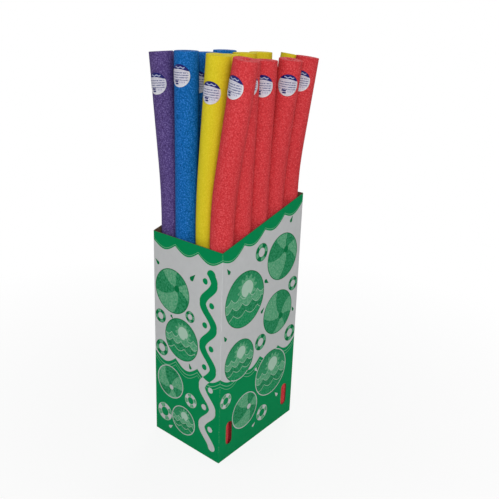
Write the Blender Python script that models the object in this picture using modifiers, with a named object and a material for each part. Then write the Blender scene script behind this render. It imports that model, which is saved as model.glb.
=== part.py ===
"""A tall open display carton with twenty foam pool noodles standing in it.

Metres, +Z up. The origin is the middle of the carton's underside, on the floor.
The short front panel faces -Y and the high back panel +Y.
The noodles stand in four colour columns along X and five rows along Y.
Each noodle lifts straight up out of the carton, with its round label.
"""

import math

import bmesh
import bpy
from mathutils import Matrix, Vector

# The noodles: foam tubes, each cut to a slightly different length
NOODLE_DIAMETER = 0.063
BORE_DIAMETER = 0.020
NOODLE_LENGTH = 1.130
BEND_STEPS = 4
NOODLE_SIDES = 24
COLOURS = ("purple", "blue", "yellow", "red")
ROWS = 5
FOAM_CLEARANCE = 0.0005

# Each colour's row starts this share of a diameter behind the front panel
SET_BACK_SHARES = {"purple": 0.13, "blue": 0.0, "yellow": 0.20, "red": 0.0}

# A noodle bends over this share of what stands above the rim, and is straight from there up
BEND_SHARE = 0.38

# How far each noodle's top leans out over the rim, in degrees towards +X and +Y
LEAN_DEGREES = {
    "purple": ((-5.3, -1.0), (-7.0, 0.0), (-4.5, 0.0), (-4.0, 0.0), (-4.0, 3.0)),
    "blue": ((0.0, -0.5), (0.0, 0.0), (0.0, 0.0), (0.0, 0.0), (0.0, 2.5)),
    "yellow": ((4.7, 0.0), (0.0, 0.0), (0.0, 0.0), (0.0, 0.0), (5.2, 7.0)),
    "red": ((9.8, 0.0), (2.0, 0.0), (2.0, 0.0), (7.0, 0.0), (5.3, 4.0)),
}

# How long each noodle was cut, as a share of the nominal length
CUT_SHARES = {
    "purple": (0.997, 0.9955, 0.990, 0.986, 0.985),
    "blue": (1.002, 0.997, 1.0025, 0.990, 0.989),
    "yellow": (1.000, 0.996, 1.000, 0.998, 0.9955),
    "red": (1.000, 0.990, 0.989, 0.990, 0.9925),
}

# The labels: round stickers wrapped on the foam near each noodle's top
LABEL_DIAMETER = 0.056
LABEL_THICKNESS = 0.0003
LABEL_STANDOFF = 0.0005
LABEL_OUTLINE_POINTS = 16
LABEL_STRIPS = 8

# How far each label's middle lies below the noodle's top, as a share of the full length
LABEL_DROP_SHARES = {
    "purple": (0.071, 0.060, 0.072, 0.058, 0.066),
    "blue": (0.052, 0.065, 0.062, 0.070, 0.058),
    "yellow": (0.079, 0.064, 0.058, 0.070, 0.062),
    "red": (0.0575, 0.052, 0.055, 0.055, 0.0565),
}

# The way each label faces, in degrees from +X, turning left seen from above
LABEL_FACING_DEGREES = {
    "purple": (-80.0, -100.0, 95.0, -88.0, 110.0),
    "blue": (-80.0, -88.0, 92.0, -95.0, 80.0),
    "yellow": (-77.0, -85.0, -95.0, 90.0, 100.0),
    "red": (-94.0, -43.0, -60.0, -51.0, -74.0),
}

# The carton: one folded blank of thin corrugated board, higher at the back than in front
BOARD_THICKNESS = 0.002
FOLD_GAP = 0.0003
SEAT_GAP = 0.0003
SPARE_DEPTH = 0.028
SIDE_CLEARANCE = 0.001
FRONT_HEIGHT = 0.647
BACK_HEIGHT = 0.740
RIM_CLEARANCE = 0.004
GLUE_FLAP_WIDTH = 0.020
GLUE_FLAP_HEIGHT = 0.700
GLUE_FLAP_TAPER = 0.012
INNER_FLAP_LENGTH = 0.127
SEAM_OFFSET = 0.015
FLAP_TAPER = 0.004

# The upright hand slots, low in both side panels
SLOT_WIDTH = 0.026
SLOT_HEIGHT = 0.076
SLOT_BOTTOM = 0.044
SLOT_INSET = 0.043
SLOT_ARC_STEPS = 6

# What the sizes above give
NOODLE_RADIUS = NOODLE_DIAMETER / 2
PITCH = NOODLE_DIAMETER + FOAM_CLEARANCE
INNER_WIDTH = (len(COLOURS) - 1) * PITCH + NOODLE_DIAMETER + 2 * SIDE_CLEARANCE
INNER_DEPTH = ROWS * PITCH + FOAM_CLEARANCE + SPARE_DEPTH
OUTER_WIDTH = INNER_WIDTH + 2 * BOARD_THICKNESS
OUTER_DEPTH = INNER_DEPTH + 2 * BOARD_THICKNESS
FLOOR_TOP = 2 * BOARD_THICKNESS + FOLD_GAP
LABEL_RADIUS = NOODLE_RADIUS + LABEL_STANDOFF

# Linear colour and roughness of each material
FINISHES = {
    "purple": ((0.085, 0.045, 0.235), 0.8),
    "blue": ((0.005, 0.110, 0.400), 0.8),
    "yellow": ((0.700, 0.560, 0.020), 0.8),
    "red": ((0.620, 0.035, 0.045), 0.8),
    "label": ((0.800, 0.800, 0.820), 0.4),
    "board": ((0.560, 0.560, 0.580), 0.7),
}


def clear_scene():
    for obj in list(bpy.data.objects):
        bpy.data.objects.remove(obj)


def new_collection(name):
    collection = bpy.data.collections.new(name)
    bpy.context.scene.collection.children.link(collection)
    return collection


def new_material(name, finish):
    colour, roughness = FINISHES[finish]
    material = bpy.data.materials.new(name)
    material.use_nodes = True
    shader = material.node_tree.nodes["Principled BSDF"]
    shader.inputs["Base Color"].default_value = (*colour, 1)
    shader.inputs["Roughness"].default_value = roughness
    shader.inputs["Metallic"].default_value = 0
    material.diffuse_color = (*colour, 1)
    return material


def new_part(name, data, collection, finish):
    """One named piece with a material of its own."""
    data.materials.append(new_material(name, finish))
    part = bpy.data.objects.new(name, data)
    collection.objects.link(part)
    return part


def rim_height(y):
    """How high the side panels' sloping top edge is at y."""
    rise = (BACK_HEIGHT - FRONT_HEIGHT) / OUTER_DEPTH
    return FRONT_HEIGHT + rise * (y + OUTER_DEPTH / 2)


# The noodles


def noodle_stand(colour, row):
    """The middle of a noodle's foot. The middle row stands between the inner flaps, a board lower."""
    x = (COLOURS.index(colour) - (len(COLOURS) - 1) / 2) * PITCH
    reach = INNER_DEPTH / 2 - FOAM_CLEARANCE - NOODLE_RADIUS
    first = SET_BACK_SHARES[colour] * NOODLE_DIAMETER - reach
    y = first + row * (reach - first) / (ROWS - 1)
    floor = BOARD_THICKNESS if row == ROWS // 2 else FLOOR_TOP
    return Vector((x, y, floor + SEAT_GAP))


def bend_start(colour, row):
    """The height above its foot at which a noodle starts to lean: just over the rim it leans on."""
    stand = noodle_stand(colour, row)
    beside = min(stand.y + NOODLE_RADIUS, OUTER_DEPTH / 2)
    return rim_height(beside) + RIM_CLEARANCE - stand.z


def noodle_axis(colour, row):
    """Points along the noodle's middle, from its foot, and the unit vector that its top follows."""
    lean = Vector(LEAN_DEGREES[colour][row])
    length = NOODLE_LENGTH * CUT_SHARES[colour][row]
    if lean.length == 0:
        return [Vector(), Vector((0, 0, length))], Vector((0, 0, 1))
    tip = math.radians(lean.length)
    out = (lean / lean.length).to_3d()
    up = Vector((0, 0, 1))
    start = bend_start(colour, row)
    bend = BEND_SHARE * (length - start)
    step = bend / BEND_STEPS
    points = [Vector(), up * start]
    for k in range(BEND_STEPS):
        angle = tip * (k + 1 / 2) / BEND_STEPS
        points.append(points[-1] + step * (out * math.sin(angle) + up * math.cos(angle)))
    way = out * math.sin(tip) + up * math.cos(tip)
    points.append(points[-1] + (length - start - bend) * way)
    return points, way


def tube_skin(points):
    """The outer skin of a tube along these points, open at both ends."""
    curve = bpy.data.curves.new("skin", "CURVE")
    curve.dimensions = "3D"
    curve.bevel_depth = NOODLE_RADIUS
    curve.bevel_resolution = NOODLE_SIDES // 2 - 2
    spline = curve.splines.new("POLY")
    spline.points.add(len(points) - 1)
    for place, point in zip(spline.points, points):
        place.co = (*point, 1)
    guide = bpy.data.objects.new("skin", curve)
    bpy.context.scene.collection.objects.link(guide)
    graph = bpy.context.evaluated_depsgraph_get()
    mesh = bpy.data.meshes.new_from_object(guide.evaluated_get(graph))
    bpy.data.objects.remove(guide)
    mesh.shade_smooth()
    mesh.set_sharp_from_angle(angle=math.radians(30))
    return mesh


def make_noodle(colour, row, points, lift, collection):
    noodle = new_part(f"noodle_{colour}_{row + 1}", tube_skin(points), collection, colour)
    noodle.parent = lift
    wall = noodle.modifiers.new("foam wall", "SOLIDIFY")
    wall.thickness = (NOODLE_DIAMETER - BORE_DIAMETER) / 2
    wall.offset = -1


# The labels


def label_mesh():
    """A round sticker wrapped about the Z axis, with its middle on +X."""
    bm = bmesh.new()
    radius = LABEL_DIAMETER / 2
    bmesh.ops.create_circle(
        bm, cap_ends=True, radius=radius, segments=LABEL_OUTLINE_POINTS
    )
    for k in range(1, LABEL_STRIPS):
        x = LABEL_DIAMETER * k / LABEL_STRIPS - radius
        bmesh.ops.bisect_plane(
            bm,
            geom=bm.verts[:] + bm.edges[:] + bm.faces[:],
            plane_co=(x, 0, 0),
            plane_no=(1, 0, 0),
        )
    for vert in bm.verts:
        across, along, _ = vert.co
        angle = across / LABEL_RADIUS
        vert.co = (LABEL_RADIUS * math.cos(angle), LABEL_RADIUS * math.sin(angle), along)
    mesh = bpy.data.meshes.new("label")
    bm.to_mesh(mesh)
    bm.free()
    mesh.shade_smooth()
    return mesh


def make_label(colour, row, points, way, lift, collection):
    label = new_part(f"label_{colour}_{row + 1}", label_mesh(), collection, "label")
    facing = math.radians(LABEL_FACING_DEGREES[colour][row])
    out = Vector((math.cos(facing), math.sin(facing), 0))
    out = (out - way * out.dot(way)).normalized()
    side = way.cross(out)
    middle = points[-1] - way * NOODLE_LENGTH * LABEL_DROP_SHARES[colour][row]
    turn = Matrix((out, side, way)).transposed().to_4x4()
    label.parent = lift
    label.matrix_local = Matrix.Translation(middle) @ turn
    film = label.modifiers.new("film", "SOLIDIFY")
    film.thickness = LABEL_THICKNESS
    film.offset = 1


def make_noodles(collection):
    """Each noodle and its label hang on an empty at the noodle's foot, on its lifting axis."""
    for colour in COLOURS:
        for row in range(ROWS):
            lift = bpy.data.objects.new(f"lift_{colour}_{row + 1}", None)
            collection.objects.link(lift)
            lift.location = noodle_stand(colour, row)
            points, way = noodle_axis(colour, row)
            make_noodle(colour, row, points, lift, collection)
            make_label(colour, row, points, way, lift, collection)


# The carton


def board(name, outlines, place, collection):
    """A flat piece of board from its outline and any holes, half its thickness to each side."""
    curve = bpy.data.curves.new(name, "CURVE")
    curve.dimensions = "2D"
    curve.fill_mode = "BOTH"
    curve.extrude = BOARD_THICKNESS / 2
    for outline in outlines:
        spline = curve.splines.new("POLY")
        spline.points.add(len(outline) - 1)
        spline.use_cyclic_u = True
        for point, (x, y) in zip(spline.points, outline):
            point.co = (x, y, 0, 1)
    panel = new_part(name, curve, collection, "board")
    panel.matrix_world = place


def standing(x_axis, z_axis, location):
    """A frame whose Y is up, for a panel drawn flat and then stood on its edge."""
    turn = Matrix((x_axis, (0, 0, 1), z_axis)).transposed().to_4x4()
    return Matrix.Translation(location) @ turn


def slot_outline(middle):
    """An upright slot with round ends."""
    radius = SLOT_WIDTH / 2
    ends = (
        (SLOT_BOTTOM + SLOT_HEIGHT - radius, 0),
        (SLOT_BOTTOM + radius, math.pi),
    )
    points = []
    for height, turn in ends:
        for k in range(SLOT_ARC_STEPS + 1):
            angle = turn + math.pi * k / SLOT_ARC_STEPS
            points.append(
                (middle + radius * math.cos(angle), height + radius * math.sin(angle))
            )
    return points


def make_upright_panels(collection):
    """Front and back panels at full width, with the side panels between them."""
    half = OUTER_WIDTH / 2
    for name, side, height in (("front", -1, FRONT_HEIGHT), ("back", 1, BACK_HEIGHT)):
        y = side * (OUTER_DEPTH - BOARD_THICKNESS) / 2
        outline = [(-half, 0), (half, 0), (half, height), (-half, height)]
        place = standing((1, 0, 0), (0, -1, 0), (0, y, 0))
        board(f"carton_{name}_panel", [outline], place, collection)
    end = INNER_DEPTH / 2 - FOLD_GAP
    outline = [(-end, 0), (end, 0), (end, rim_height(end)), (-end, rim_height(-end))]
    middle = OUTER_DEPTH / 2 - SLOT_INSET
    outlines = [outline, slot_outline(-middle), slot_outline(middle)]
    for name, side in (("left", -1), ("right", 1)):
        x = side * (OUTER_WIDTH - BOARD_THICKNESS) / 2
        place = standing((0, 1, 0), (1, 0, 0), (x, 0, 0))
        board(f"carton_{name}_panel", outlines, place, collection)


def make_glue_flap(collection):
    """The strip folded from the back panel's edge and glued inside the left panel."""
    end = INNER_DEPTH / 2 - FOLD_GAP
    tip = end - GLUE_FLAP_WIDTH
    low = FLOOR_TOP + SEAT_GAP
    outline = [
        (end, low),
        (end, GLUE_FLAP_HEIGHT),
        (tip, GLUE_FLAP_HEIGHT - GLUE_FLAP_TAPER),
        (tip, low + GLUE_FLAP_TAPER),
    ]
    x = -INNER_WIDTH / 2 + FOLD_GAP + BOARD_THICKNESS / 2
    place = standing((0, 1, 0), (1, 0, 0), (x, 0, 0))
    board("carton_glue_flap", [outline], place, collection)


def make_floor_flaps(collection):
    """The side panels' flaps close the underside, and the front and back panels' lie on them."""
    half = INNER_WIDTH / 2 - FOLD_GAP
    end = INNER_DEPTH / 2 - FOLD_GAP
    outer = Matrix.Translation((0, 0, BOARD_THICKNESS / 2))
    inner = Matrix.Translation((0, 0, FLOOR_TOP - BOARD_THICKNESS / 2))
    tips = (("left", -1, SEAM_OFFSET), ("right", 1, SEAM_OFFSET + FOLD_GAP))
    for name, side, tip in tips:
        outline = [
            (side * half, -end),
            (side * half, end),
            (tip, end - FLAP_TAPER),
            (tip, FLAP_TAPER - end),
        ]
        board(f"carton_{name}_flap", [outline], outer, collection)
    tip = end - INNER_FLAP_LENGTH
    for name, side in (("front", -1), ("back", 1)):
        outline = [
            (-half, side * end),
            (half, side * end),
            (half - FLAP_TAPER, side * tip),
            (FLAP_TAPER - half, side * tip),
        ]
        board(f"carton_{name}_flap", [outline], inner, collection)


def main():
    clear_scene()
    collection = new_collection("pool_noodle_display")
    make_upright_panels(collection)
    make_glue_flap(collection)
    make_floor_flaps(collection)
    make_noodles(collection)


main()
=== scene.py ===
"""Looks for the pool noodle display: foam tubes with stickers in a printed corrugated carton.

Metres, +Z up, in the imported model's frame. The short front panel faces -Y.
"""

import math

import bmesh
import bpy
from mathutils import Matrix, Vector, noise


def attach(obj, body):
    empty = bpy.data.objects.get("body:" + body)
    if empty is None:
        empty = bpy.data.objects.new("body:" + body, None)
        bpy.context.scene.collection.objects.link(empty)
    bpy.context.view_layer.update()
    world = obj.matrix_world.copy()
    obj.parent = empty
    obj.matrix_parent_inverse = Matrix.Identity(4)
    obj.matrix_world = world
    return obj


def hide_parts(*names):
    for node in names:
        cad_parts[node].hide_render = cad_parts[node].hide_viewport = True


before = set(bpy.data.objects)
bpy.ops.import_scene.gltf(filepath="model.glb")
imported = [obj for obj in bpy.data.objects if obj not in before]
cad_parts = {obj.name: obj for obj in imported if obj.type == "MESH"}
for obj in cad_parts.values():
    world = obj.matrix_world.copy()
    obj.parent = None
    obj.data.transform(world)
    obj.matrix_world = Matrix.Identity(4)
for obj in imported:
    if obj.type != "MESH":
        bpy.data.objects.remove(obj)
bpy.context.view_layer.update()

# Sizes shared with the model's source
NOODLE_DIAMETER = 0.063
BORE_DIAMETER = 0.020
NOODLE_LENGTH = 1.130
COLOURS = ("purple", "blue", "yellow", "red")
ROWS = 5
FOAM_CLEARANCE = 0.0005
SET_BACK_SHARES = {"purple": 0.13, "blue": 0.0, "yellow": 0.20, "red": 0.0}
BEND_SHARE = 0.38
LEAN_DEGREES = {
    "purple": ((-5.3, -1.0), (-7.0, 0.0), (-4.5, 0.0), (-4.0, 0.0), (-4.0, 3.0)),
    "blue": ((0.0, -0.5), (0.0, 0.0), (0.0, 0.0), (0.0, 0.0), (0.0, 2.5)),
    "yellow": ((4.7, 0.0), (0.0, 0.0), (0.0, 0.0), (0.0, 0.0), (5.2, 7.0)),
    "red": ((9.8, 0.0), (2.0, 0.0), (2.0, 0.0), (7.0, 0.0), (5.3, 4.0)),
}
CUT_SHARES = {
    "purple": (0.997, 0.9955, 0.990, 0.986, 0.985),
    "blue": (1.002, 0.997, 1.0025, 0.990, 0.989),
    "yellow": (1.000, 0.996, 1.000, 0.998, 0.9955),
    "red": (1.000, 0.990, 0.989, 0.990, 0.9925),
}
LABEL_DIAMETER = 0.056
LABEL_DROP_SHARES = {
    "purple": (0.071, 0.060, 0.072, 0.058, 0.066),
    "blue": (0.052, 0.065, 0.062, 0.070, 0.058),
    "yellow": (0.079, 0.064, 0.058, 0.070, 0.062),
    "red": (0.0575, 0.052, 0.055, 0.055, 0.0565),
}
LABEL_FACING_DEGREES = {
    "purple": (-80.0, -100.0, 95.0, -88.0, 110.0),
    "blue": (-80.0, -88.0, 92.0, -95.0, 80.0),
    "yellow": (-77.0, -85.0, -95.0, 90.0, 100.0),
    "red": (-94.0, -43.0, -60.0, -51.0, -74.0),
}
BOARD_THICKNESS = 0.002
FOLD_GAP = 0.0003
SEAT_GAP = 0.0003
SPARE_DEPTH = 0.028
SIDE_CLEARANCE = 0.001
FRONT_HEIGHT = 0.647
BACK_HEIGHT = 0.740
RIM_CLEARANCE = 0.004
SLOT_WIDTH = 0.026
SLOT_HEIGHT = 0.076
SLOT_BOTTOM = 0.044
SLOT_INSET = 0.043

NOODLE_RADIUS = NOODLE_DIAMETER / 2
BORE_RADIUS = BORE_DIAMETER / 2
PITCH = NOODLE_DIAMETER + FOAM_CLEARANCE
INNER_WIDTH = (len(COLOURS) - 1) * PITCH + NOODLE_DIAMETER + 2 * SIDE_CLEARANCE
INNER_DEPTH = ROWS * PITCH + FOAM_CLEARANCE + SPARE_DEPTH
OUTER_WIDTH = INNER_WIDTH + 2 * BOARD_THICKNESS
OUTER_DEPTH = INNER_DEPTH + 2 * BOARD_THICKNESS
FLOOR_TOP = 2 * BOARD_THICKNESS + FOLD_GAP
SLOT_RADIUS = SLOT_WIDTH / 2
SLOT_MIDDLE = OUTER_DEPTH / 2 - SLOT_INSET

# The foam's surface
SEGMENTS = 64
STATION_STEP = 0.020
BORE_STATION_SKIP = 3
ROUND_STEPS = 4
FACE_STEPS = 8
OUTER_ROUND = 0.0014
BORE_ROUND = 0.0006
TUBE_SHARP_DEGREES = 50
SKIN_WANDER = 0.00035
FACE_WANDER = 0.0005
SKIN_WAVES_PER_METRE = 26
FACE_WAVES_PER_METRE = 260
SEED_STEPS = (7.3, 5.1, 2.7)

# The stickers
STICKER_RINGS = 8
STICKER_SPOKES = 64
STICKER_RISE = 0.00035
STICKER_CURL = 0.00025
CURL_POWER = 8
CURL_LOBES = 3
FILM_THICKNESS = 0.00018

# The corrugated board
LINER = 0.0003
MEDIUM = 0.00018
FLUTE_PITCH = 0.0032
FLUTE_SAMPLES = 8
ARC_STEPS = 24
CORNER_STEPS = 8
PANEL_SHARP_DEGREES = 35
MERGE_DISTANCE = 1e-6

# The material slots of a noodle and of a panel
SKIN, CUT = 0, 1
PRINTED, BARE = 0, 1

# Linear colours. Each foam's cells are darker by one share, brighter by another and whiter.
FOAM = {
    "purple": ((0.082, 0.048, 0.192), (0.60, 0.80, 0.10)),
    "blue": ((0.000, 0.107, 0.362), (0.62, 1.05, 0.05)),
    "yellow": ((0.690, 0.570, 0.016), (0.12, 0.12, 0.03)),
    "red": ((0.610, 0.034, 0.041), (0.30, 0.24, 0.09)),
}
CUT_FACE_GAIN = 1.12
GREEN = (0.000, 0.248, 0.080)
DEEP_GREEN = (0.000, 0.168, 0.052)
PALE_GREEN = (0.190, 0.460, 0.280)
MID_GREEN = (0.040, 0.310, 0.140)
PAPER = (0.555, 0.565, 0.570)
# Kraft brown for the board's inside, cut edges and bottom flaps, made darker than plain kraft as
# painted shade for the carton's shaded inside
KRAFT_DARKENED_AS_PAINTED_SHADE = (0.150, 0.090, 0.050)
PLAIN = (0.460, 0.455, 0.440)
SCUFF = (0.600, 0.600, 0.580)
GRIME = (0.000, 0.030, 0.020)
FILM = (0.640, 0.630, 0.700)
FILM_RIM = (0.780, 0.770, 0.800)
NAVY = (0.007, 0.008, 0.125)
LINE_INK = (0.100, 0.110, 0.250)
CREST_INK = (0.500, 0.560, 0.740)
BAR_INK = (0.160, 0.170, 0.360)
FLOOR = (0.900, 0.900, 0.900)
WHITE = (1, 1, 1, 1)


# Shader expressions: sockets that add and multiply like numbers


class Graph:
    """A material's nodes, made by calls instead of by hand."""

    def __init__(self, name):
        self.material = bpy.data.materials.new(name)
        self.material.use_nodes = True
        self.nodes = self.material.node_tree.nodes
        self.links = self.material.node_tree.links
        self.shader = self.nodes["Principled BSDF"]

    def put(self, socket, value):
        if isinstance(value, Field):
            value = value.socket
        if isinstance(value, bpy.types.NodeSocket):
            self.links.new(value, socket)
        else:
            socket.default_value = value

    def math(self, operation, *values, clamp=False):
        node = self.nodes.new("ShaderNodeMath")
        node.operation = operation
        node.use_clamp = clamp
        for socket, value in zip(node.inputs, values):
            self.put(socket, value)
        return Field(self, node.outputs[0])

    def vector(self, operation, *values, output=0):
        node = self.nodes.new("ShaderNodeVectorMath")
        node.operation = operation
        for socket, value in zip(node.inputs, values):
            self.put(socket, value)
        return Field(self, node.outputs[output])

    def place(self):
        """Where the point is on the piece, in metres at rest."""
        return Field(self, self.nodes.new("ShaderNodeTexCoord").outputs["Object"])

    def uv(self):
        return Field(self, self.nodes.new("ShaderNodeTexCoord").outputs["UV"])

    def split(self, vector):
        node = self.nodes.new("ShaderNodeSeparateXYZ")
        self.put(node.inputs[0], vector)
        return [Field(self, output) for output in node.outputs]

    def join(self, x, y, z=0.0):
        node = self.nodes.new("ShaderNodeCombineXYZ")
        for socket, value in zip(node.inputs, (x, y, z)):
            self.put(socket, value)
        return Field(self, node.outputs[0])

    def noise(self, where, scale, detail=2.0, roughness=0.5):
        node = self.nodes.new("ShaderNodeTexNoise")
        self.put(node.inputs["Vector"], where)
        node.inputs["Scale"].default_value = scale
        node.inputs["Detail"].default_value = detail
        node.inputs["Roughness"].default_value = roughness
        return Field(self, node.outputs["Fac"])

    def cells(self, where, scale, feature="F1"):
        node = self.nodes.new("ShaderNodeTexVoronoi")
        node.feature = feature
        self.put(node.inputs["Vector"], where)
        node.inputs["Scale"].default_value = scale
        return Field(self, node.outputs["Distance"])

    def mix(self, share, first, second):
        node = self.nodes.new("ShaderNodeMix")
        node.data_type = "RGBA"
        self.put(node.inputs["Factor"], share)
        for name, value in (("A", first), ("B", second)):
            socket = next(s for s in node.inputs if s.name == name and s.type == "RGBA")
            self.put(socket, (*value, 1) if isinstance(value, tuple) else value)
        output = next(s for s in node.outputs if s.type == "RGBA")
        return Field(self, output)

    def bump(self, height, depth, strength):
        node = self.nodes.new("ShaderNodeBump")
        node.inputs["Strength"].default_value = strength
        node.inputs["Distance"].default_value = depth
        self.put(node.inputs["Height"], height)
        self.put(self.shader.inputs["Normal"], node.outputs[0])

    def colour(self, value):
        value = (*value, 1) if isinstance(value, tuple) else value
        self.put(self.shader.inputs["Base Color"], value)

    def rough(self, value):
        self.put(self.shader.inputs["Roughness"], value)

    def finish(self, finish, grain):
        """A specular level, and a roughness that a grain varies."""
        level, roughness, variation = finish
        self.shader.inputs["Specular IOR Level"].default_value = level
        self.rough(roughness + grain * variation)


class Field:
    """A number that varies over the surface."""

    def __init__(self, graph, socket):
        self.graph = graph
        self.socket = socket

    def __add__(self, other):
        return self.graph.math("ADD", self, other)

    def __radd__(self, other):
        return self.graph.math("ADD", self, other)

    def __sub__(self, other):
        return self.graph.math("SUBTRACT", self, other)

    def __rsub__(self, other):
        return self.graph.math("SUBTRACT", other, self)

    def __mul__(self, other):
        return self.graph.math("MULTIPLY", self, other)

    def __rmul__(self, other):
        return self.graph.math("MULTIPLY", self, other)

    def __neg__(self):
        return self.graph.math("MULTIPLY", self, -1.0)

    def __abs__(self):
        return self.graph.math("ABSOLUTE", self)

    def sin(self):
        return self.graph.math("SINE", self)

    def low(self, other):
        return self.graph.math("MINIMUM", self, other)

    def high(self, other):
        return self.graph.math("MAXIMUM", self, other)

    def ramp(self, start, end):
        """0 at start and below, 1 at end and above."""
        return self.graph.math(
            "MULTIPLY_ADD",
            self,
            1 / (end - start),
            -start / (end - start),
            clamp=True,
        )


PRINT_EDGE = 0.0005


def inside(distance):
    """Ink where a signed distance is below zero, with an edge as soft as print."""
    return distance.ramp(PRINT_EDGE / 2, -PRINT_EDGE / 2)


def drop(graph, where, start, end, radius, tip_share=0.04):
    """Signed distance to a stroke whose radius falls to a share of itself at its end."""
    along = Vector(end) - Vector(start)
    scaled = along / along.length_squared
    from_start = graph.vector("SUBTRACT", where, (*start, 0))
    share = graph.vector("DOT_PRODUCT", from_start, (*scaled, 0), output=1)
    share = graph.math("ADD", share, 0.0, clamp=True)
    on_line = graph.vector("MULTIPLY", graph.join(share, share, share), (*along, 0))
    away = graph.vector("LENGTH", graph.vector("SUBTRACT", from_start, on_line), output=1)
    return away - (1.0 - share * (1 - tip_share)) * radius


def circle(graph, where, middle, radius):
    away = graph.vector("DISTANCE", where, (*middle, 0), output=1)
    return away - radius


# Materials. A rate is a texture's scale, about how many cells or clouds it has in a metre.

PEBBLE_RATE = 310
FINE_CELL_RATE = 760
FOAM_CLOUD_RATE = 260
FOAM_DRIFT_RATE = 9
FIBRE_RATE = 700
BOARD_CLOUD_RATE = 35
LINER_GRAIN_RATE = 900
# How strongly the light cells show, and the depth and strength of the bump
SKIN_LOOK = (0.65, 0.0010, 0.6)
CUT_LOOK = (0.85, 0.0016, 0.8)
FINE_CELL_SHARE = 0.20
DRIFT_SHARE = 0.12
# How much the pebbles, the fine cells and the clouds raise the foam
FOAM_RELIEF = (-0.80, -0.25, 0.35)
BOARD_DARK_GAIN = 0.72
BOARD_LIGHT_GAIN = 1.18
FIBRE_SHARE = 0.7
BOARD_CLOUD_SHARE = 0.3
# The depth and strength of the bump, on bare and on printed board
BARE_RELIEF = (0.00010, 0.5)
PRINTED_RELIEF = (0.00011, 0.6)
FLUTE_SHARE = 0.50
GRAIN_SHARE = 0.35
# A finish is a specular level, a roughness and how much the grain adds to it
FOAM_FINISH = (0.08, 0.62, 0.20)
BOARD_FINISH = (0.25, 0.82, 0.10)
PRINT_FINISH = (0.03, 0.52, 0.16)
FILM_FINISH = (0.15, 0.36, 0.15)


def foam_material(name, base, cells, look):
    """Closed-cell foam: a pebbled skin, or a rougher and paler cut face."""
    graph = Graph(name)
    place = graph.place()
    pebbles = graph.cells(place, PEBBLE_RATE, "SMOOTH_F1")
    fine = graph.cells(place, FINE_CELL_RATE)
    cloud = graph.noise(place, FOAM_CLOUD_RATE, 2.0, 0.6)
    drift = graph.noise(place, FOAM_DRIFT_RATE, 2.0)
    darker, brighter, whiter = cells
    speck_share, depth, strength = look
    pebble_rise, fine_rise, cloud_rise = FOAM_RELIEF
    dark = tuple(c * (1 - darker) for c in base)
    light = tuple(min(1.0, c * (1 + brighter) + whiter) for c in base)
    speck = (pebbles.ramp(0.60, 0.14) * cloud.ramp(0.34, 0.60)).ramp(0.1, 0.8)
    tone = graph.mix(pebbles.ramp(0.95, 0.50), dark, base)
    tone = graph.mix(speck * speck_share, tone, light)
    tone = graph.mix(fine.ramp(0.55, 0.1) * FINE_CELL_SHARE, tone, light)
    tone = graph.mix(drift.ramp(0.42, 0.7) * DRIFT_SHARE, tone, dark)
    graph.colour(tone)
    graph.finish(FOAM_FINISH, cloud)
    relief = pebbles * pebble_rise + fine * fine_rise + cloud * cloud_rise
    graph.bump(relief, depth, strength)
    return graph.material


def liner_bump(graph, place, across=None):
    """The fibres of a liner. Where across is given, the flutes show faintly through it."""
    grain = graph.noise(place, LINER_GRAIN_RATE, 3.0, 0.7)
    if across is None:
        graph.bump(grain, *BARE_RELIEF)
        return
    flutes = (across * (2 * math.pi / FLUTE_PITCH)).sin()
    graph.bump(flutes * FLUTE_SHARE + grain * GRAIN_SHARE, *PRINTED_RELIEF)


def board_material(name, base):
    """Plain unprinted board."""
    graph = Graph(name)
    place = graph.place()
    stretched = graph.vector("MULTIPLY", place, (1.0, 1.0, 0.25))
    fibre = graph.noise(stretched, FIBRE_RATE, 4.0, 0.7)
    cloud = graph.noise(place, BOARD_CLOUD_RATE, 3.0)
    dark = tuple(c * BOARD_DARK_GAIN for c in base)
    light = tuple(min(1.0, c * BOARD_LIGHT_GAIN) for c in base)
    share = fibre.ramp(0.35, 0.7) * FIBRE_SHARE + cloud.ramp(0.4, 0.7) * BOARD_CLOUD_SHARE
    graph.colour(graph.mix(share, dark, light))
    graph.finish(BOARD_FINISH, fibre)
    liner_bump(graph, place)
    return graph.material


# The carton's generic print. Places are in metres across the panel from its middle and up
# from the floor. A ball, a round view of the sea and a swim ring are each a middle, a radius
# and a turn. A drop is a middle, a length and a turn.
FRONT_BALLS = (
    ((-0.056, 0.484), 0.066, 0.6),
    ((-0.066, 0.188), 0.052, 5.0),
)
FRONT_SEAS = (
    ((-0.020, 0.344), 0.064, 0.4),
    ((-0.012, 0.078), 0.046, 2.2),
)
FRONT_RINGS = (
    ((-0.104, 0.392), 0.016, 0.3),
    ((0.014, 0.428), 0.013, 1.7),
    ((-0.100, 0.290), 0.019, 1.0),
    ((0.018, 0.160), 0.017, 0.5),
    ((-0.090, 0.074), 0.022, 0.1),
)
FRONT_DROPS = (
    ((0.020, 0.545), 0.020, 0.7),
    ((-0.112, 0.555), 0.015, -0.8),
    ((-0.060, 0.406), 0.011, 2.4),
    ((0.016, 0.268), 0.014, -0.4),
    ((-0.068, 0.030), 0.014, 0.9),
)
BACK_BALLS = (
    ((-0.050, 0.560), 0.062, 0.9),
    ((0.066, 0.330), 0.050, 2.6),
    ((-0.060, 0.150), 0.054, 5.0),
)
BACK_SEAS = (
    ((0.050, 0.450), 0.060, 1.1),
    ((-0.058, 0.370), 0.056, 0.4),
    ((0.056, 0.165), 0.056, 2.2),
)
BACK_RINGS = (
    ((0.080, 0.592), 0.020, 0.3),
    ((-0.100, 0.466), 0.017, 1.7),
    ((0.006, 0.270), 0.018, 1.0),
    ((-0.094, 0.264), 0.017, 0.5),
    ((0.000, 0.062), 0.022, 0.1),
    ((0.096, 0.066), 0.016, 0.8),
)
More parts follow.
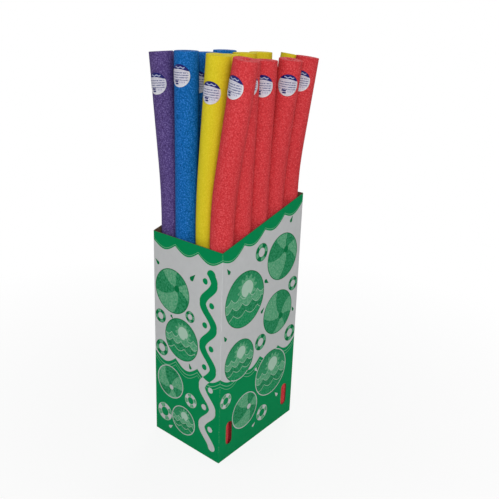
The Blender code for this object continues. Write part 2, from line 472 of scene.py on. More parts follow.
BACK_DROPS = (
    ((0.030, 0.606), 0.020, 0.7),
    ((-0.112, 0.640), 0.016, -0.8),
    ((0.108, 0.540), 0.015, 0.5),
    ((-0.030, 0.462), 0.013, 2.4),
    ((0.112, 0.400), 0.014, -0.4),
    ((0.000, 0.384), 0.012, 0.6),
    ((-0.096, 0.054), 0.015, 0.9),
    ((0.052, 0.062), 0.012, -0.6),
)
SIDE_BALLS = (
    ((0.088, 0.566), 0.070, 0.9),
    ((0.078, 0.392), 0.068, 5.4),
    ((-0.062, 0.122), 0.056, 0.2),
)
SIDE_SEAS = (
    ((-0.078, 0.486), 0.082, 1.1),
    ((-0.094, 0.304), 0.062, 3.3),
    ((0.058, 0.196), 0.074, 0.2),
)
SIDE_RINGS = (
    ((-0.012, 0.606), 0.020, 0.4),
    ((0.148, 0.462), 0.017, 1.2),
    ((0.000, 0.322), 0.019, 0.2),
    ((0.146, 0.296), 0.020, 0.9),
    ((0.022, 0.070), 0.019, 0.6),
    ((-0.149, 0.196), 0.017, 0.1),
)
SIDE_DROPS = (
    ((0.120, 0.668), 0.016, 0.5),
    ((-0.148, 0.586), 0.016, -0.6),
    ((0.012, 0.512), 0.017, 2.2),
    ((-0.156, 0.392), 0.015, -0.5),
    ((0.000, 0.420), 0.015, 0.8),
    ((0.156, 0.372), 0.014, -0.5),
    ((-0.018, 0.240), 0.013, 2.5),
    ((0.095, 0.098), 0.015, -0.7),
    ((-0.020, 0.045), 0.012, 0.9),
)
FRONT_PRINT = (FRONT_BALLS, FRONT_SEAS, FRONT_RINGS, FRONT_DROPS)
BACK_PRINT = (BACK_BALLS, BACK_SEAS, BACK_RINGS, BACK_DROPS)
SIDE_PRINT = (SIDE_BALLS, SIDE_SEAS, SIDE_RINGS, SIDE_DROPS)
FRONT_SCALLOPS = 3
SIDE_SCALLOPS = 4
PRINT_GRAIN_RATE = 60
PRINT_MOTTLE_RATE = 170
# The print wears off where its distance from the panel's upright edge and a noise say so
SCUFF_WANDER = 0.012
SCUFF_EDGES = (0.0035, 0.0075)
SCUFF_SHARE = 0.12
GRIME_SHARE = 0.05
OUTLINE = 0.0013
BALL_GORES = 3.0
BALL_SWIRL = 1.3
BALL_POLE_SHARE = 0.34
BALL_HUB_SHARE = 0.15
BALL_SOFTNESS = 0.07
RING_WIDTH_SHARE = 0.30
RING_QUARTERS = 4.0
RING_SOFTNESS = 0.1
DROP_WIDTH_SHARE = 0.36
BAND_DEPTH = 0.024
BAND_SCALLOP = 0.020
BAND_LINE = 0.005
SEA_LEVEL = 0.252
SEA_WAVE = 0.024
# Each line's depth in the sea and half its width
SEA_LINES = ((-0.012, 0.0011), (-0.022, 0.0008))
# In a round view, shares are of its radius. A row of waves is a level, a rate and a tone.
SUN_PLACE_SHARES = (0.10, 0.36)
SUN_SHARE = 0.30
SUN_HALO_GAIN = 1.45
SUN_RAYS = 12.0
SUN_RAY_SHARE = 0.07
SKY_FOOT_SHARE = -0.2
SUN_GREEN = (0.420, 0.600, 0.480)
WAVE_ROWS = ((0.04, 7.0, "pale"), (-0.26, 6.0, "dark"), (-0.58, 5.0, "mid"))
WAVE_SHARE = 0.085
WAVE_LINE_GAIN = 0.6
RIBBON_MIDDLE = 0.082
RIBBON_SWAY = 0.020
RIBBON_LENGTH = 0.130
RIBBON_STROKE = 0.0115
RIBBON_SLANT_GAIN = 0.4
RIBBON_DOT = 0.0090
RIBBON_BAY_SHARE = 0.62
RIBBON_LOW = 0.040
RIBBON_HIGH = 0.575


def polar(graph, where, middle):
    """The distance from a middle and the angle about it."""
    x, y, _ = graph.split(graph.vector("SUBTRACT", where, (*middle, 0)))
    return circle(graph, where, middle, 0), graph.math("ARCTAN2", y, x)


def print_rings(graph, flat, ink, tones, rings):
    for middle, radius, turn in rings:
        away, angle = polar(graph, flat, middle)
        tyre = abs(away - radius) - radius * RING_WIDTH_SHARE
        quarters = (angle * RING_QUARTERS + turn).sin().ramp(-RING_SOFTNESS, RING_SOFTNESS)
        ink = graph.mix(inside(tyre), ink, graph.mix(quarters, tones["line"], tones["pale"]))
        ink = graph.mix(inside(abs(tyre) - OUTLINE / 2), ink, tones["line"])
    return ink


def print_balls(graph, flat, ink, tones, balls):
    for middle, radius, turn in balls:
        pole = (
            middle[0] + BALL_POLE_SHARE * radius * math.cos(turn),
            middle[1] + BALL_POLE_SHARE * radius * math.sin(turn),
        )
        away, angle = polar(graph, flat, pole)
        swirl = angle * BALL_GORES + away * (BALL_SWIRL / radius) + turn
        gores = swirl.sin().ramp(-BALL_SOFTNESS, BALL_SOFTNESS)
        gores = graph.mix(gores, tones["dark"], tones["pale"])
        body = circle(graph, flat, middle, radius)
        ink = graph.mix(inside(body), ink, gores)
        ink = graph.mix(inside(away - radius * BALL_HUB_SHARE), ink, tones["line"])
        ink = graph.mix(inside(abs(body) - OUTLINE), ink, tones["line"])
    return ink


def print_seas(graph, flat, ink, tones, seas):
    """Round views of the sun over rows of waves."""
    for middle, radius, turn in seas:
        x, y, _ = graph.split(graph.vector("SUBTRACT", flat, (*middle, 0)))
        body = circle(graph, flat, middle, radius)
        sun_at = [m + share * radius for m, share in zip(middle, SUN_PLACE_SHARES)]
        sun, angle = polar(graph, flat, sun_at)
        rays = (angle * SUN_RAYS).sin() * (SUN_RAY_SHARE * radius)
        halo = sun - SUN_SHARE * radius * SUN_HALO_GAIN - rays
        picture = graph.mix(y.ramp(SKY_FOOT_SHARE * radius, radius), MID_GREEN, tones["dark"])
        picture = graph.mix(inside(halo), picture, tones["pale"])
        picture = graph.mix(inside(sun - SUN_SHARE * radius), picture, SUN_GREEN)
        for level, rate, tone in WAVE_ROWS:
            swell = (x * (rate / radius) + (turn + rate)).sin()
            crest = y - level * radius - (1.0 - abs(swell)) * (2 * WAVE_SHARE * radius)
            picture = graph.mix(inside(crest), picture, tones[tone])
            foam = inside(abs(crest) - OUTLINE * WAVE_LINE_GAIN)
            picture = graph.mix(foam, picture, SUN_GREEN)
        ink = graph.mix(inside(body), ink, picture)
        ink = graph.mix(inside(abs(body) - OUTLINE), ink, tones["line"])
    return ink


def print_drops(graph, flat, ink, tones, drops):
    for middle, length, turn in drops:
        tip = (middle[0] + length * math.sin(turn), middle[1] + length * math.cos(turn))
        shape = drop(graph, flat, middle, tip, length * DROP_WIDTH_SHARE)
        ink = graph.mix(inside(shape), ink, tones["line"])
    return ink


def print_ribbon(graph, across, up, ink, tone):
    """A wavy upright ribbon with a dot in each of its bays."""
    held = up.high(RIBBON_LOW).low(RIBBON_HIGH)
    phase = held * (2 * math.pi / RIBBON_LENGTH)
    wave, slant = phase.sin(), (phase + math.pi / 2).sin()
    off = graph.join(across - RIBBON_MIDDLE - wave * RIBBON_SWAY, up - held)
    stroke = (1.0 + abs(slant) * RIBBON_SLANT_GAIN) * RIBBON_STROKE
    ink = graph.mix(inside(graph.vector("LENGTH", off, output=1) - stroke), ink, tone)
    reach = (RIBBON_HIGH - RIBBON_LOW) / 2 - RIBBON_DOT
    ends = abs(up - (RIBBON_LOW + RIBBON_HIGH) / 2) - reach
    half = RIBBON_LENGTH / 4
    level = graph.math("WRAP", up - half, half, -half)
    bay = across - RIBBON_MIDDLE + wave * (RIBBON_SWAY * RIBBON_BAY_SHARE)
    spot = graph.vector("LENGTH", graph.join(level, bay), output=1) - RIBBON_DOT
    return graph.mix(inside(spot.high(ends)), ink, tone)


def print_material(name, axis, sign, width, scallops, motifs, ribbon):
    """White board printed green: scallops under the rim, a sea below, and motifs on both."""
    graph = Graph(name)
    place = graph.place()
    axes = graph.split(place)
    across, up = axes[axis] * sign, axes[2]
    flat = graph.join(across, up)
    grain = graph.noise(place, PRINT_GRAIN_RATE, 4.0, 0.6)
    mottle = graph.noise(place, PRINT_MOTTLE_RATE, 4.0, 0.65)
    if axis == 1:
        slope = (BACK_HEIGHT - FRONT_HEIGHT) / OUTER_DEPTH
        below_rim = up - axes[1] * slope - (FRONT_HEIGHT + BACK_HEIGHT) / 2
    else:
        below_rim = up - (FRONT_HEIGHT if ribbon else BACK_HEIGHT)
    arches = abs((across * (math.pi * scallops / width) + math.pi * scallops / 2).sin())
    band = -(below_rim + BAND_DEPTH + arches * BAND_SCALLOP)
    sea = up - SEA_LEVEL - (1.0 - arches) * SEA_WAVE
    in_sea = inside(sea)
    ink = graph.mix(in_sea, PAPER, GREEN)
    for depth, stroke in SEA_LINES:
        ink = graph.mix(inside(abs(sea - depth) - stroke), ink, PALE_GREEN)
    ink = graph.mix(inside(band), ink, GREEN)
    ink = graph.mix(inside(abs(band + BAND_LINE) - OUTLINE / 2), ink, PALE_GREEN)
    tones = {
        "line": graph.mix(in_sea, DEEP_GREEN, PAPER),
        "dark": graph.mix(mottle.ramp(0.36, 0.62), DEEP_GREEN, MID_GREEN),
        "mid": graph.mix(mottle.ramp(0.40, 0.60), MID_GREEN, GREEN),
        "pale": graph.mix(mottle.ramp(0.34, 0.66), MID_GREEN, PALE_GREEN),
    }
    balls, seas, rings, drops = motifs
    ink = print_rings(graph, flat, ink, tones, rings)
    ink = print_balls(graph, flat, ink, tones, balls)
    ink = print_seas(graph, flat, ink, tones, seas)
    ink = print_drops(graph, flat, ink, tones, drops)
    if ribbon:
        ink = print_ribbon(graph, across, up, ink, graph.mix(in_sea, GREEN, PAPER))
    edge = abs(across) - width / 2
    scuff = (edge + grain * SCUFF_WANDER).ramp(*SCUFF_EDGES) * mottle.ramp(0.45, 0.6)
    ink = graph.mix(scuff * SCUFF_SHARE, ink, SCUFF)
    ink = graph.mix(grain.ramp(0.35, 0.75) * GRIME_SHARE, ink, GRIME)
    graph.colour(ink)
    graph.finish(PRINT_FINISH, grain)
    liner_bump(graph, place, across)
    return graph.material


# The sticker's print on a disc of radius 1: a navy cap with a crest, broken lines, two blocks
# and a row of small bars
CAP_EDGE = 0.53
CAP_WAVE = 0.05
CAP_RATE = 3.4
CAP_PHASE = 1.1
CAP_SLANT = 0.10
CREST_MIDDLE = (0.04, 0.72)
CREST_HALF = 0.46
CREST_RATE = 13.0
CREST_WAVE = 0.05
CREST_STROKE = 0.045
LINES_TOP = 0.44
LINES_FOOT = -0.42
LINES_HALF = 0.84
LINE_RATE = 30.0
CHIP_RATES = (8.0, 14.0)
STICKER_BLOCKS = (((-0.46, -0.50), (-0.16, -0.50)), ((-0.36, -0.70), (-0.14, -0.70)))
BLOCK_RADIUS = 0.075
BARS_MIDDLE = (0.28, -0.56)
BARS_HALF = (0.26, 0.07)
BAR_RATE = 40.0
RIM_SHARES = (0.89, 0.93)
INK_SOFTNESS = 0.02
LINES_SHARE = 0.95
PALE_INK_SHARE = 0.8
FILM_GRAIN_RATE = 400
FILM_RIPPLE_RATE = 160
# The ripple's depth and strength
FILM_RELIEF = (0.0006, 0.25)


def sticker_material():
    """A pale film with a navy cap, fine bars and no words."""
    graph = Graph("sticker_print")
    u, v, _ = graph.split(graph.uv())
    x, y = u * 2.0 - 1.0, v * 2.0 - 1.0
    flat = graph.join(x, y)
    radius = graph.vector("LENGTH", flat, output=1)
    grain = graph.noise(graph.place(), FILM_GRAIN_RATE, 2.0)

    def ink_where(distance, soft=INK_SOFTNESS):
        return distance.ramp(soft, -soft)

    cap = (x * CAP_RATE + CAP_PHASE).sin() * CAP_WAVE - y + CAP_EDGE - x * CAP_SLANT
    wavy = y - CREST_MIDDLE[1] - (x * CREST_RATE).sin() * CREST_WAVE
    crest = (abs(wavy) - CREST_STROKE).high(abs(x - CREST_MIDDLE[0]) - CREST_HALF)
    rows = (y * LINE_RATE).sin()
    chips = graph.noise(graph.join(x * CHIP_RATES[0], y * CHIP_RATES[1]), 1.0, 1.0)
    block = abs(y - (LINES_TOP + LINES_FOOT) / 2) - (LINES_TOP - LINES_FOOT) / 2
    lines = rows.ramp(-0.6, 0.5) * chips.ramp(0.34, 0.52) * ink_where(block)
    lines = lines * ink_where(abs(x) - LINES_HALF, 2 * INK_SOFTNESS)
    bars = (abs(x - BARS_MIDDLE[0]) - BARS_HALF[0]).high(abs(y - BARS_MIDDLE[1]) - BARS_HALF[1])
    bars = (x * BAR_RATE).sin().ramp(0.0, 0.4) * ink_where(bars)
    tone = graph.mix(radius.ramp(*RIM_SHARES), FILM, FILM_RIM)
    tone = graph.mix(lines * LINES_SHARE, tone, LINE_INK)
    tone = graph.mix(ink_where(cap), tone, NAVY)
    tone = graph.mix(ink_where(crest) * PALE_INK_SHARE, tone, CREST_INK)
    for start, end in STICKER_BLOCKS:
        stroke = drop(graph, flat, start, end, BLOCK_RADIUS, 1.0)
        tone = graph.mix(ink_where(stroke), tone, NAVY)
    tone = graph.mix(bars * PALE_INK_SHARE, tone, BAR_INK)
    graph.colour(tone)
    graph.finish(FILM_FINISH, grain)
    graph.bump(graph.noise(graph.place(), FILM_RIPPLE_RATE, 2.0), *FILM_RELIEF)
    return graph.material


# Foam tubes


def rim_height(y):
    rise = (BACK_HEIGHT - FRONT_HEIGHT) / OUTER_DEPTH
    return FRONT_HEIGHT + rise * (y + OUTER_DEPTH / 2)


class Tube:
    """One noodle: straight in the carton, an even bend over the rim, then straight again."""

    def __init__(self, colour, row):
        x = (COLOURS.index(colour) - (len(COLOURS) - 1) / 2) * PITCH
        reach = INNER_DEPTH / 2 - FOAM_CLEARANCE - NOODLE_RADIUS
        first = SET_BACK_SHARES[colour] * NOODLE_DIAMETER - reach
        y = first + row * (reach - first) / (ROWS - 1)
        floor = BOARD_THICKNESS if row == ROWS // 2 else FLOOR_TOP
        self.foot = Vector((x, y, floor + SEAT_GAP))
        self.length = NOODLE_LENGTH * CUT_SHARES[colour][row]
        lean = Vector(LEAN_DEGREES[colour][row])
        self.tip = math.radians(lean.length)
        self.out = (lean.normalized() if self.tip else Vector((1, 0))).to_3d()
        beside = min(y + NOODLE_RADIUS, OUTER_DEPTH / 2)
        self.start = rim_height(beside) + RIM_CLEARANCE - self.foot.z
        self.bend = BEND_SHARE * (self.length - self.start)
        column_step, row_step, height = SEED_STEPS
        self.seed = Vector((COLOURS.index(colour) * column_step, row * row_step, height))

    def frame(self, s):
        """The middle, the leaning side's direction and the way along, at a length s."""
        bent = min(max(s - self.start, 0), self.bend) / self.bend * self.tip
        up = Vector((0, 0, 1))
        middle = self.foot + up * min(s, self.start)
        if bent:
            radius = self.bend / self.tip
            middle += self.out * radius * (1 - math.cos(bent)) + up * radius * math.sin(bent)
        elif s > self.start:
            middle += up * (min(s, self.start + self.bend) - self.start)
        way = self.out * math.sin(bent) + up * math.cos(bent)
        middle += way * max(0, s - self.start - self.bend)
        return middle, self.out * math.cos(bent) - up * math.sin(bent), way

    def stations(self):
        """The section's path: over the foot, up the skin, over the top and down the bore."""
        skin, bore = NOODLE_RADIUS, BORE_RADIUS
        steps = round(self.length / STATION_STEP)
        heights = [self.length * k / steps for k in range(1, steps)]
        corner = [math.pi / 2 * k / ROUND_STEPS for k in range(ROUND_STEPS + 1)]
        face = [skin + (bore - skin) * k / FACE_STEPS for k in range(1, FACE_STEPS)]
        path = []
        for end, sign in ((0.0, 1), (self.length, -1)):
            outer, inner = [], []
            for a in corner:
                low, high = 1 - math.cos(a), 1 - math.sin(a)
                outer.append((end + sign * OUTER_ROUND * high, skin - OUTER_ROUND * low, "skin"))
                inner.append((end + sign * BORE_ROUND * low, bore + BORE_ROUND * high, "cut"))
            flat = [(end, r, "cut") for r in face]
            if sign > 0:
                path += inner[::-1] + flat[::-1] + outer[::-1]
                path += [(s, skin, "skin") for s in heights]
            else:
                path += outer + flat + inner
        path += [(s, bore, "bore") for s in heights[::-BORE_STATION_SKIP]]
        return path

    def mesh(self, name):
        """The closed tube, its surface wandering a little inwards as extruded foam does."""
        path = self.stations()
        points, faces, slots = [], [], []
        for s, r, kind in path:
            middle, out, way = self.frame(s)
            side = way.cross(out)
            for k in range(SEGMENTS):
                angle = 2 * math.pi * k / SEGMENTS
                ray = out * math.cos(angle) + side * math.sin(angle)
                point = middle + ray * r
                if kind == "cut":
                    deep = noise.noise(point * FACE_WAVES_PER_METRE + self.seed)
                    inward = way if s < self.length / 2 else -way
                    point += inward * FACE_WANDER * (0.5 + deep / 2)
                elif kind == "skin":
                    deep = noise.noise(point * SKIN_WAVES_PER_METRE + self.seed)
                    point -= ray * SKIN_WANDER * (0.5 + deep / 2)
                points.append(point)
        rings = len(path)
        for j in range(rings):
            near, far = j * SEGMENTS, (j + 1) % rings * SEGMENTS
            for k in range(SEGMENTS):
                nxt = (k + 1) % SEGMENTS
                faces.append((near + k, near + nxt, far + nxt, far + k))
            both = path[j][2] == "skin" and path[(j + 1) % rings][2] == "skin"
            slots += [SKIN if both else CUT] * SEGMENTS
        mesh = bpy.data.meshes.new(name)
        mesh.from_pydata(points, [], faces)
        mesh.polygons.foreach_set("material_index", slots)
        mesh.shade_smooth()
        mesh.set_sharp_from_angle(angle=math.radians(TUBE_SHARP_DEGREES))
        return mesh


def take_mesh(bm, name):
    mesh = bpy.data.meshes.new(name)
    bm.to_mesh(mesh)
    bm.free()
    return mesh


def link(name, mesh, *materials):
    for material in materials:
        mesh.materials.append(material)
    piece = bpy.data.objects.new(name, mesh)
    bpy.context.scene.collection.objects.link(piece)
    return piece


def sticker_mesh():
    """A thin round film wrapped about Z, its middle on +X and its rim curling off a little."""
    bm = bmesh.new()
    rings = [[bm.verts.new((0, 0, 0))]]
    flat_of = {rings[0][0]: (0, 0)}
    outer_radius = LABEL_DIAMETER / 2
    for j in range(1, STICKER_RINGS + 1):
        radius = outer_radius * j / STICKER_RINGS
        ring = []
        for k in range(STICKER_SPOKES):
            angle = 2 * math.pi * k / STICKER_SPOKES
            vert = bm.verts.new((0, 0, 0))
            flat_of[vert] = (radius * math.cos(angle), radius * math.sin(angle))
            ring.append(vert)
        rings.append(ring)
    for k in range(STICKER_SPOKES):
        nxt = (k + 1) % STICKER_SPOKES
        bm.faces.new((rings[0][0], rings[1][k], rings[1][nxt]))
        for near, far in zip(rings[1:], rings[2:]):
            bm.faces.new((near[k], far[k], far[nxt], near[nxt]))
    layer = bm.loops.layers.uv.new("print")
    for face in bm.faces:
        for loop in face.loops:
            across, along = flat_of[loop.vert]
            loop[layer].uv = (across / LABEL_DIAMETER + 0.5, along / LABEL_DIAMETER + 0.5)
    for vert, (across, along) in flat_of.items():
        curl = STICKER_CURL * (math.hypot(across, along) / outer_radius) ** CURL_POWER
        uneven = 0.5 + 0.5 * math.sin(CURL_LOBES * math.atan2(along, across) + 1)
        radius = NOODLE_RADIUS + STICKER_RISE + curl * uneven
        angle = across / NOODLE_RADIUS
        vert.co = (radius * math.cos(angle), radius * math.sin(angle), along)
    mesh = take_mesh(bm, "sticker")
    mesh.shade_smooth()
    return mesh


def make_noodles():
    sticker = sticker_mesh()
    sticker.materials.append(sticker_material())
    for colour in COLOURS:
        base, cells = FOAM[colour]
        paler = tuple(min(1.0, c * CUT_FACE_GAIN) for c in base)
        skin = foam_material(f"{colour}_foam_skin", base, cells, SKIN_LOOK)
        cut = foam_material(f"{colour}_foam_cut", paler, cells, CUT_LOOK)
        for row in range(ROWS):
            key = f"{colour}_{row + 1}"
            tube = Tube(colour, row)
            foam = link(f"foam_{key}", tube.mesh(f"foam_{key}"), skin, cut)
            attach(foam, key)
            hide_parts(f"noodle_{key}")
            middle, _, way = tube.frame(tube.length)
            facing = math.radians(LABEL_FACING_DEGREES[colour][row])
            out = Vector((math.cos(facing), math.sin(facing), 0))
            out = (out - way * out.dot(way)).normalized()
            turn = Matrix((out, way.cross(out), way)).transposed().to_4x4()
            middle = middle - way * NOODLE_LENGTH * LABEL_DROP_SHARES[colour][row]
            film_mesh = sticker.copy()
            film_mesh.transform(Matrix.Translation(middle) @ turn)
            label = link(f"sticker_{key}", film_mesh)
            film = label.modifiers.new("film", "SOLIDIFY")
            film.thickness = FILM_THICKNESS
            film.offset = 1
            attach(label, key)
            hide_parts(f"label_{key}")


# Corrugated panels


def slot_outline(middle):
    """A hand slot's edge: a half circle above another, middle being its place across."""
    points = []
    for height, turn in (
        (SLOT_BOTTOM + SLOT_HEIGHT - SLOT_RADIUS, 0),
        (SLOT_BOTTOM + SLOT_RADIUS, math.pi),
    ):
        for k in range(ARC_STEPS + 1):
            angle = turn + math.pi * k / ARC_STEPS
            points.append(
                (middle + SLOT_RADIUS * math.cos(angle), height + SLOT_RADIUS * math.sin(angle))
            )
    return points


def add_liner(bm, outlines, low, high, to_piece, outer_slot):
    """A flat sheet between two depths. Its face on the high side takes outer_slot."""
    curve = bpy.data.curves.new("liner", "CURVE")
    curve.dimensions = "2D"
    curve.fill_mode = "BOTH"
    curve.extrude = (high - low) / 2
    for outline in outlines:
        spline = curve.splines.new("POLY")
        spline.points.add(len(outline) - 1)
        spline.use_cyclic_u = True
        for point, (x, y) in zip(spline.points, outline):
            point.co = (x, y, 0, 1)
    guide = bpy.data.objects.new("liner", curve)
    bpy.context.scene.collection.objects.link(guide)
    graph = bpy.context.evaluated_depsgraph_get()
    mesh = bpy.data.meshes.new_from_object(guide.evaluated_get(graph))
    bpy.data.objects.remove(guide)
    mesh.transform(to_piece @ Matrix.Translation((0, 0, (low + high) / 2)))
    outward = to_piece.to_3x3() @ Vector((0, 0, 1))
    first = len(bm.faces)
    bm.from_mesh(mesh)
    bm.faces.ensure_lookup_table()
    for face in bm.faces[first:]:
        face.normal_update()
        face.material_index = outer_slot if face.normal.dot(outward) > 0.5 else BARE
        face.smooth = False
    bmesh.ops.remove_doubles(bm, verts=bm.verts[:], dist=MERGE_DISTANCE)
    bpy.data.meshes.remove(mesh)


def add_flutes(bm, start, end, top, slots, to_piece):
    """The waved sheet between the liners, as a closed thin wall, parted round any slots."""
    count = round((end - start) / FLUTE_PITCH * FLUTE_SAMPLES)
    swing = BOARD_THICKNESS / 2 - LINER - MEDIUM / 2
    level = SLOT_BOTTOM + SLOT_HEIGHT / 2

    def gap(u):
        """The heights where a slot opens and closes the sheet here, or None."""
        for middle in slots:
            off = abs(u - middle)
            if off < SLOT_RADIUS:
                arch = math.sqrt(SLOT_RADIUS**2 - off**2)
                low = SLOT_BOTTOM + SLOT_RADIUS - arch
                return low, SLOT_BOTTOM + SLOT_HEIGHT - SLOT_RADIUS + arch
        return None

    columns = []
    for k in range(count + 1):
        u = start + (end - start) * k / count
        wave = swing * math.sin(2 * math.pi * u / FLUTE_PITCH)
        opening = gap(u)
        heights = [0, level, level, top(u)] if opening is None else [0, *opening, top(u)]
        column = []
        for depth in (wave - MEDIUM / 2, wave + MEDIUM / 2):
            verts = []
            for n, v in enumerate(heights):
                if n == 2 and opening is None:
                    verts.append(verts[1])
                else:
                    verts.append(bm.verts.new(to_piece @ Vector((u, v, depth))))
            column.append(verts)
        columns.append((column, opening is not None))
    made = []

    def face(*verts):
        verts = list(dict.fromkeys(verts))
        if len(verts) > 2:
            made.append(bm.faces.new(verts))

    for (a, a_open), (b, b_open) in zip(columns, columns[1:]):
        for n in (0, 2):
            face(a[1][n], b[1][n], b[1][n + 1], a[1][n + 1])
            face(b[0][n], a[0][n], a[0][n + 1], b[0][n + 1])
        face(a[0][0], b[0][0], b[1][0], a[1][0])
        face(a[1][3], b[1][3], b[0][3], a[0][3])
        if a_open or b_open:
            face(a[1][1], b[1][1], b[0][1], a[0][1])
            face(a[0][2], b[0][2], b[1][2], a[1][2])
    for column, turn in ((columns[0][0], False), (columns[-1][0], True)):
        for n in (0, 2):
            ring = [column[0][n], column[1][n], column[1][n + 1], column[0][n + 1]]
            face(*(ring if turn else ring[::-1]))
    for one in made:
        one.material_index = BARE
        one.smooth = True


def add_corner(bm, side, end, top):
    """The outer liner turning the corner between a front or back panel and a side panel."""
    radius = BOARD_THICKNESS
    middle = Vector((side * (OUTER_WIDTH / 2 - radius), end * (OUTER_DEPTH / 2 - radius)))
    columns = []
    for k in range(CORNER_STEPS + 1):
        angle = math.pi / 2 * k / CORNER_STEPS
        ray = Vector((side * math.sin(angle), end * math.cos(angle)))
        column = []
        for r in (radius, radius - LINER):
            x, y = middle + ray * r
            column.append([bm.verts.new((x, y, z)) for z in (0, top)])
        columns.append(column)

    def face(slot, smooth, *verts):
        one = bm.faces.new(verts)
        one.material_index = slot
        one.smooth = smooth

    for a, b in zip(columns, columns[1:]):
        face(PRINTED, True, a[0][0], b[0][0], b[0][1], a[0][1])
        face(BARE, True, b[1][0], a[1][0], a[1][1], b[1][1])
        face(BARE, False, a[0][1], b[0][1], b[1][1], a[1][1])
        face(BARE, False, a[1][0], b[1][0], b[0][0], a[0][0])
    for column in (columns[0], columns[-1]):
        face(BARE, False, column[0][0], column[0][1], column[1][1], column[1][0])


def finish_panel(bm, name, printed, kraft_with_painted_shade):
    bmesh.ops.recalc_face_normals(bm, faces=bm.faces[:])
    mesh = take_mesh(bm, f"panel_{name}")
    mesh.set_sharp_from_angle(angle=math.radians(PANEL_SHARP_DEGREES))
    piece = link(f"panel_{name}", mesh, printed, kraft_with_painted_shade)
    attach(piece, "carton")
    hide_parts(f"carton_{name}_panel")


def standing(x_axis, z_axis, location):
    """A frame whose Y is up, for a panel drawn flat and then stood on its edge."""
    turn = Matrix((x_axis, (0, 0, 1), z_axis)).transposed().to_4x4()
    return Matrix.Translation(location) @ turn


def add_board(bm, half, top, slots, place):
    """Two liners and the waved sheet between them, half being half the width."""
    deep = BOARD_THICKNESS / 2
    outline = [(-half, 0), (half, 0), (half, top(half)), (-half, top(-half))]
    outlines = [outline, *map(slot_outline, slots)]
    add_liner(bm, outlines, deep - LINER, deep, place, PRINTED)
    add_liner(bm, outlines, -deep, LINER - deep, place, BARE)
    add_flutes(bm, -half, half, top, slots, place)


def make_end_panel(name, side, height, motifs, kraft_with_painted_shade):
    """The front or back panel, whose outer liner turns both of its upright corners."""
    out = OUTER_DEPTH / 2 - BOARD_THICKNESS / 2
    place = standing((-side, 0, 0), (0, side, 0), (0, side * out, 0))
    bm = bmesh.new()
    add_board(bm, OUTER_WIDTH / 2 - BOARD_THICKNESS, lambda u: height, (), place)
    for across in (-1, 1):
        add_corner(bm, across, side, height)
    bmesh.ops.remove_doubles(bm, verts=bm.verts[:], dist=MERGE_DISTANCE)
    # The faces that are left inside the board, where a corner joins its liner
    seams = [face for face in bm.faces if all(len(e.link_faces) > 2 for e in face.edges)]
    bmesh.ops.delete(bm, geom=seams, context="FACES_ONLY")
    printed = print_material(
        f"{name}_print", 0, -side, OUTER_WIDTH, FRONT_SCALLOPS, motifs, name == "front"
    )
    finish_panel(bm, name, printed, kraft_with_painted_shade)


def make_side_panel(name, side, kraft_with_painted_shade):
    """The left or right panel, with a sloping rim and two hand slots."""
    out = OUTER_WIDTH / 2 - BOARD_THICKNESS / 2
    place = standing((0, side, 0), (side, 0, 0), (side * out, 0, 0))
    slots = (-SLOT_MIDDLE, SLOT_MIDDLE)
    bm = bmesh.new()
    half = OUTER_DEPTH / 2 - BOARD_THICKNESS
    add_board(bm, half, lambda u: rim_height(u * side), slots, place)
    printed = print_material(
        f"{name}_print", 1, 1.0, OUTER_DEPTH, SIDE_SCALLOPS, SIDE_PRINT, False
    )
    finish_panel(bm, name, printed, kraft_with_painted_shade)


def make_carton():
    # The kraft board's colour is darkened as painted shade for the carton's inside
    kraft_with_painted_shade = board_material("kraft_with_painted_shade_board", KRAFT_DARKENED_AS_PAINTED_SHADE)
    plain = board_material("plain_board", PLAIN)
    make_end_panel("front", -1, FRONT_HEIGHT, FRONT_PRINT, kraft_with_painted_shade)
    make_end_panel("back", 1, BACK_HEIGHT, BACK_PRINT, kraft_with_painted_shade)
    make_side_panel("left", -1, kraft_with_painted_shade)
    make_side_panel("right", 1, kraft_with_painted_shade)
    for name, material in (
        ("carton_glue_flap", kraft_with_painted_shade),
        ("carton_front_flap", kraft_with_painted_shade),
        ("carton_back_flap", kraft_with_painted_shade),
        ("carton_left_flap", plain),
        ("carton_right_flap", plain),
    ):
        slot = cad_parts[name].material_slots[0]
        slot.link = "OBJECT"
        slot.material = material


# Floor, light and camera

FLOOR_HALF = 8
FLOOR_DROP = 0.0004
FLOOR_ROUGHNESS = 0.85
# How white the camera sees the floor near the object, and where that fades to full white
FLOOR_GLOW_NEAR = 0.86
FLOOR_FADE = (0.45, 1.5)
WORLD_STRENGTH = 0.36


def seen_share(nodes, links):
    """1 for what the camera sees, straight or through a reflection or glass, else 0."""
    path = nodes.new("ShaderNodeLightPath")
    share = path.outputs["Is Camera Ray"]
    for name in ("Is Glossy Ray", "Is Transmission Ray"):
        either = nodes.new("ShaderNodeMath")
        either.operation = "MAXIMUM"
        links.new(share, either.inputs[0])
        links.new(path.outputs[name], either.inputs[1])
        share = either.outputs[0]
    return share


def make_stage():
    """A pale floor that keeps a soft shadow near the object and fades to white around it."""
    bm = bmesh.new()
    bmesh.ops.create_grid(bm, x_segments=1, y_segments=1, size=FLOOR_HALF)
    graph = Graph("floor_paint")
    graph.colour(FLOOR)
    graph.rough(FLOOR_ROUGHNESS)
    glow = graph.nodes.new("ShaderNodeEmission")
    glow.inputs["Color"].default_value = WHITE
    blend = graph.nodes.new("ShaderNodeMixShader")
    away = graph.vector("LENGTH", graph.place(), output=1)
    white = away.ramp(*FLOOR_FADE) * (1 - FLOOR_GLOW_NEAR) + FLOOR_GLOW_NEAR
    graph.put(blend.inputs[0], white * Field(graph, seen_share(graph.nodes, graph.links)))
    graph.links.new(graph.shader.outputs[0], blend.inputs[1])
    graph.links.new(glow.outputs[0], blend.inputs[2])
    graph.links.new(blend.outputs[0], graph.nodes["Material Output"].inputs["Surface"])
    floor = link("floor", take_mesh(bm, "floor"), graph.material)
    floor.location.z = -FLOOR_DROP


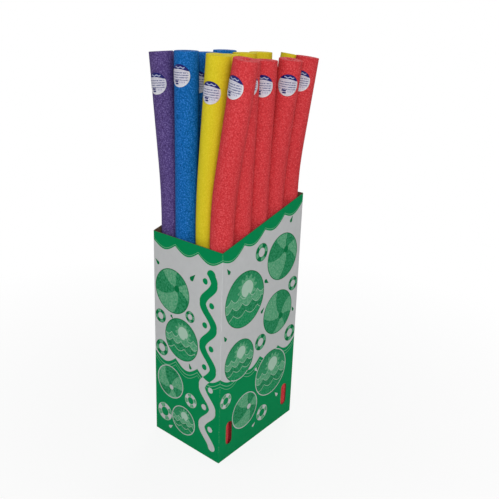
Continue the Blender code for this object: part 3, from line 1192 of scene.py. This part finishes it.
def make_world():
    world = bpy.data.worlds.new("studio")
    bpy.context.scene.world = world
    world.use_nodes = True
    nodes, links = world.node_tree.nodes, world.node_tree.links
    air = nodes["Background"]
    shown = nodes.new("ShaderNodeBackground")
    for background, strength in ((air, WORLD_STRENGTH), (shown, 1.0)):
        background.inputs["Color"].default_value = WHITE
        background.inputs["Strength"].default_value = strength
    blend = nodes.new("ShaderNodeMixShader")
    links.new(seen_share(nodes, links), blend.inputs[0])
    links.new(air.outputs[0], blend.inputs[1])
    links.new(shown.outputs[0], blend.inputs[2])
    links.new(blend.outputs[0], nodes["World Output"].inputs["Surface"])


def direction(azimuth, elevation):
    """The way out from the object, in degrees round from its front and up from level."""
    turn, rise = math.radians(azimuth), math.radians(elevation)
    return Vector(
        (
            math.sin(turn) * math.cos(rise),
            -math.cos(turn) * math.cos(rise),
            math.sin(rise),
        )
    )


# Each lamp's azimuth and elevation in degrees, distance, size and power
LAMPS = (
    ("key", 46, 27, 2.8, 1.3, 36.5),
    ("left_fill", -40, 20, 3.0, 1.6, 5),
    ("back_fill", 205, 35, 3.0, 1.8, 18),
)
LAMPS_MIDDLE = (0, 0, 0.65)


def make_lights():
    for name, azimuth, elevation, distance, size, power in LAMPS:
        way = direction(azimuth, elevation)
        data = bpy.data.lights.new(name, "AREA")
        data.shape = "DISK"
        data.size = size
        data.energy = power
        lamp = bpy.data.objects.new(name, data)
        bpy.context.scene.collection.objects.link(lamp)
        lamp.location = Vector(LAMPS_MIDDLE) + way * distance
        lamp.rotation_euler = way.to_track_quat("Z", "Y").to_euler()


CAMERA_AZIMUTH = 38.51
CAMERA_ELEVATION = 18.73
CAMERA_ROLL = 2.10
CAMERA_DISTANCE = 1.839
CAMERA_MIDDLE = (0, 0, 0.6)
CAMERA_OFFSET = (0.066, 0.045)
SENSOR_WIDTH = 36
FOCAL_PIXELS = 634.4
FRAME_PIXELS = 499
MIDDLE_PIXELS = (252.0, 226.4)


def make_camera():
    azimuth, roll = math.radians(CAMERA_AZIMUTH), math.radians(CAMERA_ROLL)
    back = direction(CAMERA_AZIMUTH, CAMERA_ELEVATION)
    level = Vector((math.cos(azimuth), math.sin(azimuth), 0))
    upright = back.cross(level)
    right = level * math.cos(roll) + upright * math.sin(roll)
    up = upright * math.cos(roll) - level * math.sin(roll)
    data = bpy.data.cameras.new("camera")
    camera = bpy.data.objects.new("camera", data)
    bpy.context.scene.collection.objects.link(camera)
    turn = Matrix((right, up, back)).transposed().to_4x4()
    place = Vector(CAMERA_MIDDLE) + right * CAMERA_OFFSET[0] + up * CAMERA_OFFSET[1]
    camera.matrix_world = Matrix.Translation(place + back * CAMERA_DISTANCE) @ turn
    data.sensor_width = SENSOR_WIDTH
    data.lens = FOCAL_PIXELS / FRAME_PIXELS * data.sensor_width
    data.shift_x = (FRAME_PIXELS / 2 - MIDDLE_PIXELS[0]) / FRAME_PIXELS
    data.shift_y = (MIDDLE_PIXELS[1] - FRAME_PIXELS / 2) / FRAME_PIXELS
    bpy.context.scene.camera = camera


make_camera()
make_noodles()
make_carton()
make_stage()
make_world()
make_lights()
bpy.context.scene.view_settings.view_transform = "Standard"
